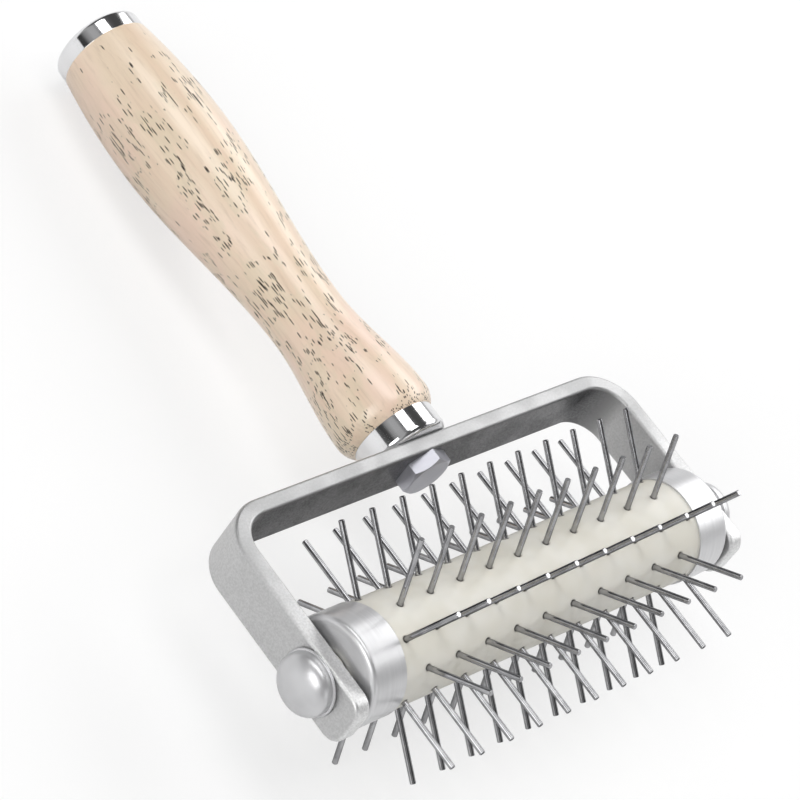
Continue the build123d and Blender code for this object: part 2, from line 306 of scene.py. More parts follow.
# %% Shared surface effects
def fine_grain_group():
    """Noise of two sizes, each as a mask from 0 to 1: Mask is the fine grain, Patches the broad one."""
    group, given, result = new_group(
        "fine_grain",
        {"Vector": ("NodeSocketVector", None),
         "Grain": ("NodeSocketFloat", 0.5), "Patch": ("NodeSocketFloat", 8.0)},
        {"Mask": "NodeSocketFloat", "Patches": "NodeSocketFloat"},
    )
    grain_scale = arithmetic(group, "DIVIDE", 1.0, given["Grain"])
    patch_scale = arithmetic(group, "DIVIDE", 1.0, given["Patch"])
    grain = noise(group, given["Vector"], Scale=grain_scale, Detail=3.0, Roughness=0.6)
    patch = noise(group, given["Vector"], Scale=patch_scale, Detail=2.0)
    group.links.new(spread(group, grain, 0.3, 0.7), result["Mask"])
    group.links.new(spread(group, patch, 0.35, 0.65), result["Patches"])
    return group


def turning_lines_group():
    """Rings round the first axis: noise of (place along it + distance from it) / pitch.

    The fine lines are about one pitch wide, and the broad bands seven.
    """
    group, given, result = new_group(
        "turning_lines",
        {"Vector": ("NodeSocketVector", None), "Pitch": ("NodeSocketFloat", 0.2)},
        {"Lines": "NodeSocketFloat", "Bands": "NodeSocketFloat"},
    )
    part = add_node(group, "ShaderNodeSeparateXYZ", Vector=given["Vector"]).outputs
    across = arithmetic(group, "ADD", arithmetic(group, "MULTIPLY", part[1], part[1]),
                        arithmetic(group, "MULTIPLY", part[2], part[2]))
    place = arithmetic(group, "ADD", part[0], arithmetic(group, "SQRT", across))
    for label, pitches, detail in (("Lines", 1.0, 2.0), ("Bands", 7.0, 1.0)):
        width = arithmetic(group, "MULTIPLY", given["Pitch"], pitches)
        rings = add_node(group, "ShaderNodeTexNoise", {"noise_dimensions": "1D"},
                         W=arithmetic(group, "DIVIDE", place, width), Scale=1.0, Detail=detail)
        group.links.new(spread(group, rings.outputs[0], 0.3, 0.7), result[label])
    return group


fine_grain = fine_grain_group()
turning_lines = turning_lines_group()


def bump(tree, height, depth):
    """A Bump node that raises the surface by depth, in millimetres, where height is 1."""
    return add_node(tree, "ShaderNodeBump", Height=height, Distance=depth * millimetre).outputs[0]


# %% [markdown]
# The bow is one aluminium casting, which a belt has ground nearly all round. A fine noise gives
# the speckle. A value painted on the mesh mixes near-black painted shade, 0, with ground metal, 1.
# The painted shade lies on the inside of the crossbar and fades out round the bends. The value also
# differs from face to face, and is highest, as a painted highlight, on the narrow sides of the arms' ends.

# %% Finish of the cast bow
def cast_bow_material():
    """Painted shade and ground metal, mixed by the value painted on the mesh, under a grey speckle."""
    material, tree, shader = new_material("cast_bow", Metallic=0.75)
    grain = use_group(tree, fine_grain, Vector=tool_vector(tree), Grain=0.55, Patch=9.0)
    ground_and_painted_light = add_node(tree, "ShaderNodeAttribute", {"attribute_name": "ground_and_painted_light"}).outputs["Fac"]
    # Near-black painted shade for the inside of the crossbar, and the colour of the ground metal.
    painted_shade, ground_face = (0.065, 0.065, 0.07, 1), (0.82, 0.82, 0.82, 1)
    speckle, speckle_share = (0.32, 0.32, 0.32, 1), 0.36
    plain = mixed(tree, ground_and_painted_light, painted_shade, ground_face)
    share = arithmetic(tree, "MULTIPLY", grain["Mask"], speckle_share)
    tree.links.new(mixed(tree, share, plain, speckle), shader.inputs["Base Color"])
    tree.links.new(spread(tree, grain["Patches"], 0, 1, 0.38, 0.48), shader.inputs["Roughness"])
    tree.links.new(bump(tree, grain["Mask"], 0.012), shader.inputs["Normal"])
    return material


cast_bow = cast_bow_material()

# %% [markdown]
# Bow: a strap with rounded edges is carried along the U, from the middle of the crossbar round one
# bend and down one arm, and the other half is its mirror image. Every station of the path has an
# outer and an inner point, because the bends' two curves have different centres. Where the arm
# ends, the stations follow its rounded corners instead of going straight across.

# %% The bow
strap_half_width = 7.2
strap_edge = 0.8
outer_bend, inner_bend = 12.25, 8.0
arm_end = -13.9
arm_corner = 4.4
bend_points, corner_points, edge_points = 25, 13, 6
before_corner = 1 + bend_points
# Each face's value on the mesh: ground metal with painted light and shade. The narrow sides at the arms' ends get
# 1, a painted highlight.
outer_ground, inner_ground, side_ground, foot_painted_light = 0.695, 0.66, 0.5, 1.0


def bow_stations():
    """Outer and inner point, corner turn, half width, and how far the inside is out of the painted shade, of the
    right half's stations.
    """
    turn = np.linspace(0, pi / 2, bend_points)
    bend = np.stack([np.sin(turn), np.cos(turn)], -1)
    outer_centre = (arm_outside - outer_bend, crossbar_outside - outer_bend)
    inner_centre = (arm_inside - inner_bend, crossbar_inside - inner_bend)
    corner = np.linspace(0, pi / 2, corner_points)
    inset = arm_corner - strap_edge
    down = arm_end + arm_corner - inset * np.sin(corner)
    outer = np.vstack([[(0, crossbar_outside)], outer_centre + outer_bend * bend,
                       np.stack([np.full(corner_points, arm_outside), down], -1)])
    inner = np.vstack([[(0, crossbar_inside)], inner_centre + inner_bend * bend,
                       np.stack([np.full(corner_points, arm_inside), down], -1)])
    corner_turn = np.concatenate([np.zeros(before_corner), corner])
    half_width = np.concatenate([np.full(before_corner, strap_half_width - strap_edge),
                                 strap_half_width - arm_corner + inset * np.cos(corner)])
    # Painted shade on the inside of the crossbar, fading out round each bend.
    inside_out_of_shade = np.concatenate([[0], 1 - np.cos(turn), np.ones(corner_points)])
    return outer, inner, corner_turn, half_width, inside_out_of_shade


def bow_skin():
    """The strap's skin.

    At each station the ring visits the four edges. On an edge with round turn f, the point lies
    half the thickness less the edge round, plus round * cos f, out through the thickness, and
    round * sin f out past the inset outline, which points down the arm by the corner turn. The
    painted value, ground metal with painted light and shade, goes by sin f too, from the broad
    face's value to the narrow side's.
    """
    outer, inner, corner_turn, half_width, inside_out_of_shade = bow_stations()
    middle, half = (outer + inner) / 2, (outer - inner) / 2
    thick = np.linalg.norm(half, axis=1)
    through = half / thick[:, None]
    edge = np.linspace(0, pi / 2, edge_points)
    turns = np.concatenate([edge, edge[::-1], edge, edge[::-1]])
    face_side = np.repeat([1, -1, -1, 1], edge_points)
    width_side = np.repeat([1, 1, -1, -1], edge_points)
    out = face_side * (thick[:, None] - strap_edge + strap_edge * np.cos(turns))
    past = strap_edge * np.sin(turns)
    down = past * np.sin(corner_turn)[:, None]
    across = width_side * (half_width[:, None] + past * np.cos(corner_turn)[:, None])
    x = middle[:, :1] + through[:, :1] * out
    y = middle[:, 1:] + through[:, 1:] * out - down
    right = np.stack([x, y, across], -1)
    left = right[:0:-1] * (-1, 1, 1)
    rings = np.vstack([left, right])
    points, faces = rings.reshape(-1, 3), ring_faces(rings)
    around = rings.shape[1]
    for start, flip in ((0, False), ((len(rings) - 1) * around, True)):
        for i in range(around // 2 - 1):
            face = [start + i, start + around - 1 - i, start + around - 2 - i, start + i + 1]
            faces.append(face if flip else face[::-1])
    # Each point's value: its face's painted tone, times the painted shade inside the crossbar.
    at_foot = np.arange(len(corner_turn)) >= before_corner
    narrow = np.where(at_foot, foot_painted_light, side_ground)[:, None]
    broad = np.where(face_side > 0, outer_ground, inner_ground * inside_out_of_shade[:, None])
    ground_and_painted_light = broad + (narrow - broad) * np.sin(turns)
    return points, faces, np.vstack([ground_and_painted_light[:0:-1], ground_and_painted_light]).ravel()


bow_points, bow_faces, ground_and_painted_light = bow_skin()
bow = add_piece("bow", bow_points, bow_faces, "frame", "cast_aluminium", cast_bow, ["bow_frame"])
painted = bow.data.attributes.new("ground_and_painted_light", "FLOAT", "POINT")
painted.data.foreach_set("value", ground_and_painted_light.astype(np.float32))

# %% [markdown]
# The end cups were turned from aluminium and left satin. Turning lines, as a very shallow bump,
# stretch highlights along the axis as a real turned surface does. The axle caps were pressed from
# sheet and have no such lines. Their colour and gloss only drift a little from patch to patch.

# %% Finishes of the turned and the pressed aluminium
def turned_metal_material(name, colour, roughness, pitch, depth, axis_first="x", metallic=1.0):
    """A metal whose turning lines show in its colour and gloss and, as a shallow bump, in its shine."""
    material, tree, shader = new_material(name, Metallic=metallic)
    vector = tool_vector(tree, axis_first)
    lines = use_group(tree, turning_lines, Vector=vector, Pitch=pitch)
    grain = use_group(tree, fine_grain, Vector=vector, Grain=0.4, Patch=7.0)
    dull = tuple(part * 0.92 for part in colour[:3]) + (1,)
    tone = mixed(tree, arithmetic(tree, "MULTIPLY", lines["Bands"], grain["Patches"]), colour, dull)
    tree.links.new(tone, shader.inputs["Base Color"])
    gloss = spread(tree, lines["Bands"], 0, 1, roughness, roughness * 1.12)
    tree.links.new(gloss, shader.inputs["Roughness"])
    tree.links.new(bump(tree, lines["Lines"], depth), shader.inputs["Normal"])
    return material


def grained_metal_material(name, colour, other_colour, roughness, patch, metallic=1.0):
    """A metal whose colour and gloss drift between two values in patches."""
    material, tree, shader = new_material(name, Metallic=metallic)
    grain = use_group(tree, fine_grain, Vector=tool_vector(tree), Grain=0.45, Patch=patch)
    tree.links.new(mixed(tree, grain["Patches"], colour, other_colour), shader.inputs["Base Color"])
    gloss = spread(tree, grain["Patches"], 0, 1, roughness, roughness * 1.15)
    tree.links.new(gloss, shader.inputs["Roughness"])
    return material


satin_aluminium = turned_metal_material(
    "satin_aluminium", (0.67, 0.67, 0.68, 1), roughness=0.34, pitch=0.14, depth=0.0008, metallic=0.7,
)
satin_cap = grained_metal_material(
    "satin_cap", (0.62, 0.62, 0.63, 1), (0.58, 0.58, 0.59, 1), roughness=0.34, patch=6.0, metallic=0.7,
)

# %% [markdown]
# An end cup is a thin drawn shell with a rounded outer edge. Its outline is a closed loop: along
# the outside, round the edge, in to the axle's hole, and back along the inside.

# %% The end cups
cup_wall = 1.2
running_gap = 0.08


def end_cup(name, side):
    """One cup's shell, from its mouth on the core to the floor that runs on the axle."""
    mouth, end = core_half_length, core_half_length + cup_depth + cup_floor
    bore = axle_radius + running_gap
    corners = [
        (mouth, cup_radius, 0.15), (end, cup_radius, 1.3), (end, bore, 0.2), (end - cup_floor, bore, 0.1),
        (end - cup_floor, cup_radius - cup_wall, 0.1), (mouth, cup_radius - cup_wall, 0.1),
    ]
    points, faces = skin(turned(rounded(mirrored(corners, side)), "x"), closed=True)
    add_piece(name, points, faces, "roller", "turned_aluminium", satin_aluminium, [f"roller_{name}"])


end_cup("cup_left", -1)
end_cup("cup_right", 1)

# %% [markdown]
# An axle cap is pressed from sheet: a narrow flange, a short straight skirt and a dome whose
# section is a quarter of an ellipse. The outline runs from the dome's top out to the flange.

# %% The axle caps
cap_radius = 7.5
cap_skirt = 2.0
cap_height = 6.2
flange_radius = 8.0
flange_thickness = 0.8
cap_wall = 0.7


def dome(top, radius, steps=16):
    """A quarter ellipse from the top to the skirt: along = skirt + rise sin a, out = radius cos a."""
    angle = np.linspace(pi / 2, 0, steps)[:-1]
    return np.stack([cap_skirt + (top - cap_skirt) * np.sin(angle), radius * np.cos(angle)], -1)


def axle_cap(name, side):
    """One cap: the dome, the flange and the inside of the dome, moved out to its arm."""
    outside = dome(cap_height, cap_radius)
    flange = rounded([(cap_skirt, cap_radius, 0), (flange_thickness, cap_radius, 0.25),
                      (flange_thickness, flange_radius, 0.25), (0, flange_radius, 0.1)])
    inside = dome(cap_height - cap_wall, cap_radius - cap_wall)[::-1]
    outline = np.vstack([outside[1:], flange, [(0, cap_radius - cap_wall)], inside[:-1]])
    outline = (outline + (arm_outside, 0)) * (side, 1)
    add_piece(name, *skin(turned(outline, "x", 96)), "frame", "cap_metal", satin_cap, [f"axle_{name}"])


axle_cap("cap_left", -1)
axle_cap("cap_right", 1)

# %% [markdown]
# The core is a nylon rod, ivory coloured and slightly satin. Nylon lets a little light in, so the
# shader has a trace of subsurface scattering. Its only pattern is a faint, broad mottling. A dark
# line round each pin's root is painted shade, set by a value painted on the mesh.

# %% Finish of the nylon
def nylon_material():
    """Ivory with a faint mottling and turning lines, and painted shade round each pin's root."""
    material, tree, shader = new_material(
        "ivory_nylon", Subsurface_Weight=0.08, Subsurface_Scale=0.002, IOR=1.5,
    )
    shader.inputs["Subsurface Radius"].default_value = (1.0, 0.8, 0.6)
    vector = tool_vector(tree)
    grain = use_group(tree, fine_grain, Vector=vector, Grain=0.6, Patch=12.0)
    lines = use_group(tree, turning_lines, Vector=vector, Pitch=0.3)
    tone = mixed(tree, grain["Patches"], (0.73, 0.705, 0.625, 1), (0.79, 0.77, 0.705, 1))
    # Painted shade: dark round the root of each pin.
    pin_shade = add_node(tree, "ShaderNodeAttribute", {"attribute_name": "pin_root_shade"}).outputs["Fac"]
    tree.links.new(mixed(tree, pin_shade, tone, (0.10, 0.09, 0.075, 1)), shader.inputs["Base Color"])
    tree.links.new(spread(tree, grain["Mask"], 0, 1, 0.42, 0.52), shader.inputs["Roughness"])
    tree.links.new(bump(tree, lines["Lines"], 0.004), shader.inputs["Normal"])
    return material


ivory_nylon = nylon_material()

# %% [markdown]
# The core's surface dips slightly round every pin, where the drill broke the edge of its hole. A
# plain grid would need millions of faces to show that. Instead the grid's lines are packed closely
# round each pin and are sparse between, which works because the pins stand on a regular lattice:
# every 5 mm along the axle and every 36 degrees round it, each second place free.

# %% The roller core
row_count = 10
first_row = radians(108)
pin_pitch = 10.0
pin_radius = 0.7
dimple_radius = 1.05
dimple_depth = 0.22
near_pin = np.array([0, 0.4, 0.72, 0.8, 0.88, 0.96, 1.05, 1.3])
# Painted shade round each pin's root: full within this distance from the pin's axis, fading over the next.
shade_radius, shade_fade = 1.0, 0.25


def packed_lines(places, extra):
    """Grid lines at each place, at the near offsets on both sides of it, and at the extra ones."""
    offsets = np.concatenate([near_pin, extra])
    return np.unique(np.round((places[:, None] + np.concatenate([-offsets, offsets])).ravel(), 5))


def core_rings():
    """The core's rings, and how much painted shade each point has. Near a pin, both follow the distance from it.
    """
    half_pitch = pin_pitch / 2
    spots = np.arange(-10, 11) * half_pitch
    x = packed_lines(spots, np.array([2.5]))
    x = x[(x > -core_half_length + 0.05) & (x < core_half_length - 0.05)]
    arc = core_radius * 2 * pi / row_count
    round_it = packed_lines(np.arange(row_count) * arc, np.array([2.0, 3.0, arc / 2]))
    round_it = np.unique(np.round(round_it % (arc * row_count), 4))
    row = np.round(round_it / arc)
    step = np.round(x / half_pitch)
    gap_round = round_it - row * arc
    gap_along = x - step * half_pitch
    taken = (step[:, None] + row % row_count % 2) % 2 == 0
    distance = np.hypot(gap_along[:, None], gap_round)
    dip = dimple_depth * np.clip(1 - (distance - pin_radius) / (dimple_radius - pin_radius), 0, 1) * taken
    angle = first_row + round_it / core_radius
    out = core_radius - dip
    wall = np.stack([np.repeat(x[:, None], len(angle), 1), out * np.cos(angle), out * np.sin(angle)], -1)
    spigot = cup_radius - cup_wall - 0.02
    bore = axle_radius + running_gap
    reach = core_half_length + cup_depth
    ends = [(core_half_length, core_radius), (core_half_length, spigot), (reach, spigot), (reach, bore)]
    along, out = np.array(ends).T[:, :, None]
    right = np.stack([along + 0 * angle, out * np.cos(angle), out * np.sin(angle)], -1)
    left = right[::-1] * (-1, 1, 1)
    # Painted shade round each pin's root, and none on the core's ends.
    root_shade = np.clip((shade_radius - distance) / shade_fade, 0, 1) * taken
    root_shade = np.pad(root_shade, ((len(ends), len(ends)), (0, 0)))
    return np.vstack([left, wall, right]), root_shade.ravel()


core_surface, pin_root_shade = core_rings()
core_points, core_faces = skin(core_surface, closed=True)
core = add_piece("core", core_points, core_faces, "roller", "nylon", ivory_nylon, ["roller_core"])
# The painted shade round the pins' roots, stored on the mesh.
painted = core.data.attributes.new("pin_root_shade", "FLOAT", "POINT")
painted.data.foreach_set("value", pin_root_shade.astype(np.float32))

# %% [markdown]
# The pins are bright stainless rod, cut square with a slightly broken edge. Steel reflects less than
# aluminium, and less still at a slant, which the specular tint gives.

# %% Finish of the pins
bright_pin = grained_metal_material("bright_pin", (0.33, 0.33, 0.34, 1), (0.43, 0.43, 0.44, 1), 0.07, 3.0)
bright_pin.node_tree.nodes["Principled BSDF"].inputs["Specular Tint"].default_value = (0.05, 0.05, 0.06, 1)

# %% [markdown]
# All the pins of a row point the same way, so one pin's rings, moved along the axle by the row's
# pitch, make the whole row in one array.

# %% The pins
pin_root = 7.0
pin_tip = 31.3
pin_edge = 0.12
pin_sides = 16


def pin_row(row):
    """Every point is (place + r cos b, along the row's direction, r sin b across it)."""
    angle = first_row + row * 2 * pi / row_count
    outward = np.array([0, np.cos(angle), np.sin(angle)])
    sideways = np.array([0, -np.sin(angle), np.cos(angle)])
    count = 11 - row % 2
    places = (np.arange(count) - (count - 1) / 2) * pin_pitch
    along = np.array([pin_root, pin_tip - pin_edge, pin_tip])
    out = np.array([pin_radius, pin_radius, pin_radius - pin_edge])
    around = np.linspace(0, 2 * pi, pin_sides, endpoint=False)
    ring = np.stack([np.cos(around), np.zeros(pin_sides), np.zeros(pin_sides)], -1)
    ring = ring + np.sin(around)[:, None] * sideways
    rod = along[:, None, None] * outward + out[:, None, None] * ring
    points, faces = [], []
    for place in places:
        rod_points, rod_faces = skin(rod + (place, 0, 0))
        shift = sum(len(p) for p in points)
        points.append(rod_points)
        faces += [[i + shift for i in face] for face in rod_faces]
    return np.vstack(points), faces


for row in range(row_count):
    number = f"{row + 1:02d}"
    add_piece(f"pins_{number}", *pin_row(row), "roller", "pin_steel", bright_pin, [f"pin_row_{number}"])

# %% [markdown]
# The handle bolt is zinc plated. Its hexagon head shows under the crossbar, with the cone that a
# lathe cuts off its corners. The rest of it is hidden in the wood, and is drawn all the same.

# %% The handle bolt
zinc_plate = grained_metal_material(
    "zinc_plate", (0.50, 0.50, 0.55, 1), (0.55, 0.55, 0.60, 1), roughness=0.3, patch=4.0, metallic=0.75,
)
hex_flat = 6.0
head_top = 0.96 * hex_flat
hex_turn = radians(32)
head_height = 3.6
bolt_radius = 4.0
bolt_length = 130.0
cone = tan(radians(30))


def bolt_rings():
    """The hexagon's radius is flat / cos(a), where a runs from -30 to 30 degrees on each side."""
    around = 96
    angle = np.linspace(0, 2 * pi, around, endpoint=False)
    side = pi / 3
    within = np.mod(angle, side) - side / 2
    hexagon = hex_flat / np.cos(within)
    # The angle counts from a corner, and the corner is turned from +X towards +Z.
    turn = angle + hex_turn
    end = crossbar_inside - head_height
    flat = np.full(around, head_top)
    shank = np.full(around, bolt_radius)
    stations = [
        (np.full(around, end), flat),
        (end + (hexagon - flat) * cone, hexagon),
        (np.full(around, crossbar_inside), hexagon),
        (np.full(around, crossbar_inside), shank),
        (np.full(around, crossbar_inside + bolt_length), shank),
    ]
    along, out = (np.array(column) for column in zip(*stations))
    return np.stack([out * np.cos(turn), along, out * np.sin(turn)], -1)


add_piece("bolt", *skin(bolt_rings()), "frame", "zinc_steel", zinc_plate, ["handle_bolt"], crease=20)

# %% [markdown]
# Chrome is nearly a mirror, so it is mostly made of what it reflects. Ferrule and end cap share
# this finish: very low roughness, with faint polishing lines.

# %% Ferrule and end cap
chrome = turned_metal_material("polished_chrome", (0.76, 0.76, 0.77, 1), 0.09, 0.5, 0.0003, axis_first="y")
ferrule_wall = 0.9
ferrule_floor = 1.4
bolt_hole = 4.2
end_cap_wall = 0.8


def ferrule():
    """A cup whose rounded floor sits on the crossbar, open towards the wood."""
    corners = [
        (crossbar_outside, bolt_hole, 0.1), (crossbar_outside, ferrule_radius, 1.6),
        (grip_start, ferrule_radius, 0.12), (grip_start, ferrule_radius - ferrule_wall, 0.1),
        (crossbar_outside + ferrule_floor, ferrule_radius - ferrule_wall, 0.1),
        (crossbar_outside + ferrule_floor, bolt_hole, 0.1),
    ]
    rings = turned(rounded(corners), "y", 192)
    add_piece("ferrule_shell", *skin(rings, closed=True), "frame", "chrome", chrome, ["ferrule"])


def end_cap():
    """A shallow cap with a flat end and a rounded edge, open towards the wood."""
    inside = end_face - end_cap_wall
    wall = end_cap_radius - end_cap_wall
    corners = [(grip_end, end_cap_radius, 0.12), (end_face, end_cap_radius, 1.5)]
    back = [(inside, wall, 0.1), (grip_end, wall, 0.1)]
    outline = rounded([(inside, 0, 0)] + back + corners + [(end_face, 0, 0)])
    # Both ends of the outline stop just short of the axis, where skin closes them with a point.
    outline[[0, -1], 1] = 0.02
    points, faces = skin(turned(outline, "y", 192))
    add_piece("end_cap_shell", points, faces, "frame", "chrome", chrome, ["grip_end_cap"])


ferrule()
end_cap()

# %% [markdown]
# A flat nylon ring on the axle keeps each cup from rubbing on its arm. Its edge shows as a pale line
# in the gap between them.

# %% The thrust washers
washer_thickness = 1.0
washer_radius = 6.0
washer_gap = 0.02


def thrust_washer(name, side):
    """A flat ring on the axle, touching the arm."""
    near, far = arm_inside - washer_thickness, arm_inside
    inner, outer = axle_radius + washer_gap, washer_radius
    corners = [(near, inner, 0.1), (near, outer, 0.15), (far, outer, 0.15), (far, inner, 0.1)]
    rings = turned(rounded(mirrored(corners, side)), "x", 96)
    add_piece(name, *skin(rings, closed=True), "frame", "nylon", ivory_nylon, [f"thrust_{name}"])


thrust_washer("washer_left", -1)
thrust_washer("washer_right", 1)

# %% [markdown]
# The grip is a pale hardwood. Its colour wanders between cream and a pinkish tan, and its pores are
# dark dashes that run along the handle, gathered in drifts, most of them short and some long. A pore
# is a thin channel through the wood, so the pattern is three-dimensional and stretched along the
# handle: where the turned surface cuts it, dashes appear. Everything is under a thin satin varnish.

# %% Finish of the wood
def stretched(tree, vector, along, across):
    """The same place with its own scale along the handle, so that a pattern is drawn out along it."""
    return add_node(tree, "ShaderNodeMapping", Vector=vector, Scale=(along, across, across)).outputs[0]


def wood_material():
    """Three wood tones under fibres, with a pore wherever a stretched Voronoi cell is chosen."""
    material, tree, shader = new_material("pale_hardwood", Coat_Roughness=0.3, Coat_IOR=1.7, IOR=1.45)
    vector = tool_vector(tree, "y")
    along = add_node(tree, "ShaderNodeSeparateXYZ", Vector=vector).outputs[0]
    fibre_vector = stretched(tree, vector, 0.035, 1.0)
    pore_vector = stretched(tree, vector, 0.24, 2.3)
    streak_vector = stretched(tree, vector, 0.075, 2.2)
    fibres = noise(tree, fibre_vector, Scale=1.3, Detail=5.0, Roughness=0.6)
    bands = noise(tree, fibre_vector, Scale=0.22, Detail=2.0)
    tint = noise(tree, vector, Scale=0.045, Detail=2.0)
    drift = noise(tree, stretched(tree, vector, 0.45, 1.0), Scale=0.2, Detail=3.0)
    cream, tan_wood, pink = (0.87, 0.705, 0.53, 1), (0.83, 0.64, 0.475, 1), (0.89, 0.66, 0.525, 1)
    dark_fibre, among_pores = (0.62, 0.47, 0.34, 1), (0.72, 0.63, 0.45, 1)
    in_pore = (0.035, 0.022, 0.014, 1)
    wood = mixed(tree, spread(tree, bands, 0.35, 0.68), cream, tan_wood)
    wood = mixed(tree, arithmetic(tree, "MULTIPLY", spread(tree, tint, 0.4, 0.65), 0.8), wood, pink)
    wood = mixed(tree, spread(tree, fibres, 0.45, 0.8, 0.0, 0.6), wood, dark_fibre)
    many = arithmetic(tree, "MULTIPLY", spread(tree, drift, 0.46, 0.55), spread(tree, along, 168, 140))
    wood = mixed(tree, arithmetic(tree, "MULTIPLY", many, 0.35), wood, among_pores)
    pores = []
    for pattern, rare, common in ((pore_vector, 0.97, 0.25), (streak_vector, 1.0, 0.75)):
        cells = add_node(tree, "ShaderNodeTexVoronoi", Vector=pattern, Scale=1.0)
        chosen = add_node(tree, "ShaderNodeSeparateColor", Color=cells.outputs["Color"]).outputs[0]
        present = arithmetic(tree, "GREATER_THAN", chosen, spread(tree, many, 0, 1, rare, common))
        dash = spread(tree, cells.outputs["Distance"], 0.30, 0.34, 1.0, 0.0)
        pores.append(arithmetic(tree, "MULTIPLY", present, dash))
    pore = arithmetic(tree, "MAXIMUM", *pores)
    tree.links.new(mixed(tree, pore, wood, in_pore), shader.inputs["Base Color"])
    tree.links.new(spread(tree, pore, 0, 1, 1.0, 0.0), shader.inputs["Coat Weight"])
    tree.links.new(spread(tree, fibres, 0.3, 0.7, 0.42, 0.55), shader.inputs["Roughness"])
    height = arithmetic(tree, "SUBTRACT", arithmetic(tree, "MULTIPLY", fibres, 0.2), pore)
    tree.links.new(bump(tree, height, 0.05), shader.inputs["Normal"])
    return material


pale_hardwood = wood_material()

# %% [markdown]
# The grip's outline has four stretches: a quarter of a circle up to the bulge behind the ferrule,
# an easy S down to the waist, another out to the belly, and a long flat arc to the end cap. The S
# curves use the cubic 3t^2 - 2t^3, which starts and ends level.

# %% The grip
bulge = (grip_start + 4.7, 12.95)
waist = (grip_start + 35.0, 9.85)
belly = (grip_start + 91.5, 14.25)
top_radius = 11.95
tenon_gap = 0.02
pocket = 8.4
bolt_past_nut, nut_height, nut_washer = 2.0, 6.5, 1.6


def eased(start, end, steps):
    """Points from start to end whose height follows 3t^2 - 2t^3."""
    t = np.linspace(0, 1, steps)[:-1]
    return start + np.subtract(end, start) * np.stack([t, (3 - 2 * t) * t * t], -1)


def level_arc(level, end, steps):
    """The arc that is level at its first point and passes through its last one.

    With a run and a drop between them, its radius is (run^2 + drop^2) / (2 drop).
    """
    run, drop = end[0] - level[0], level[1] - end[1]
    radius = (run * run + drop * drop) / (2 * drop)
    angle = np.linspace(0, np.arcsin(run / radius), steps)
    return np.stack([level[0] + radius * np.sin(angle), level[1] - radius * (1 - np.cos(angle))], -1)


def grip_outline():
    """The outside between two tenons, and the pocket for the nut, down to the bolt's hole."""
    lower_tenon = ferrule_radius - ferrule_wall - tenon_gap
    upper_tenon = end_cap_radius - end_cap_wall - tenon_gap
    tenon_end = end_face - end_cap_wall - 0.1
    pocket_floor = crossbar_inside + bolt_length - bolt_past_nut - nut_height - nut_washer
    outside = np.vstack([
        level_arc(bulge, (grip_start, ferrule_radius), 14)[::-1][:-1],
        eased(bulge, waist, 32), eased(waist, belly, 48), level_arc(belly, (grip_end, top_radius), 24),
    ])
    return np.vstack([
        [(crossbar_outside + ferrule_floor, bolt_hole), (crossbar_outside + ferrule_floor, lower_tenon)],
        [(grip_start, lower_tenon)], outside, [(grip_end, upper_tenon), (tenon_end, upper_tenon)],
        [(tenon_end, pocket), (pocket_floor, pocket), (pocket_floor, bolt_hole)],
    ])


grip_points, grip_faces = skin(turned(grip_outline(), "y", 144), closed=True)
add_piece("grip", grip_points, grip_faces, "frame", "wood", pale_hardwood, ["wooden_grip"])

# %% [markdown]
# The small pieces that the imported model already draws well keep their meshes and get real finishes:
# the axle, which shows between cup and arm, and the lock rings, washer and nut that sit out of sight.

# %% Finishes of the remaining pieces
spring_steel = grained_metal_material(
    "spring_steel", (0.30, 0.30, 0.32, 1), (0.40, 0.39, 0.38, 1), roughness=0.3, patch=5.0,
)
drawn_steel = turned_metal_material("drawn_steel", (0.58, 0.58, 0.59, 1), 0.25, 0.3, 0.002)
finishes = {
    "axle": drawn_steel,
    "lock_ring_left": spring_steel,
    "lock_ring_right": spring_steel,
    "grip_washer": zinc_plate,
    "grip_nut": zinc_plate,
}
for node, material in finishes.items():
    for slot in frame["nodes"][node].material_slots:
        slot.material = material
print(len(finishes), "CAD pieces keep their meshes")

# %% [markdown]
# The table is a large round sheet of pale card whose rim sweeps up, as in a studio. To the camera
# and in reflections it shows some white of its own. Near the tool that is only a part, so that the
# tool keeps its shadow, and further out, where the lamps don't reach, it is all.
#
# The room is grey. Beside the lamps and above the table's left rim it is darker, as where studio
# flags stand, which puts the dark lines between the light bands on the chrome.

# %% Table and room
def table_material():
    """Pale card that adds some white of its own to what the camera and reflections see of it."""
    material, tree, shader = new_material("pale_table", Roughness=0.9)
    shader.inputs["Specular IOR Level"].default_value = 0.0
    shader.inputs["Emission Color"].default_value = (1, 1, 1, 1)
    seen = add_node(tree, "ShaderNodeLightPath").outputs
    shown = arithmetic(tree, "MAXIMUM", seen["Is Camera Ray"],
                       arithmetic(tree, "MAXIMUM", seen["Is Glossy Ray"], seen["Is Transmission Ray"]))
    place = add_node(tree, "ShaderNodeTexCoord").outputs["Object"]
    distance = add_node(tree, "ShaderNodeVectorMath", {"operation": "LENGTH"}, i0=place).outputs["Value"]
    near = arithmetic(tree, "MULTIPLY_ADD", seen["Is Camera Ray"], 0.5, 0.15)
    white = arithmetic(tree, "MAXIMUM", spread(tree, distance, 0.3, 0.9), near)
    far = arithmetic(tree, "MULTIPLY", white, shown)
    card = mixed(tree, shown, (0.6, 0.6, 0.6, 1), (0.97, 0.97, 0.97, 1))
    tree.links.new(mixed(tree, far, card, (0, 0, 0, 1)), shader.inputs["Base Color"])
    tree.links.new(far, shader.inputs["Emission Strength"])
    return material


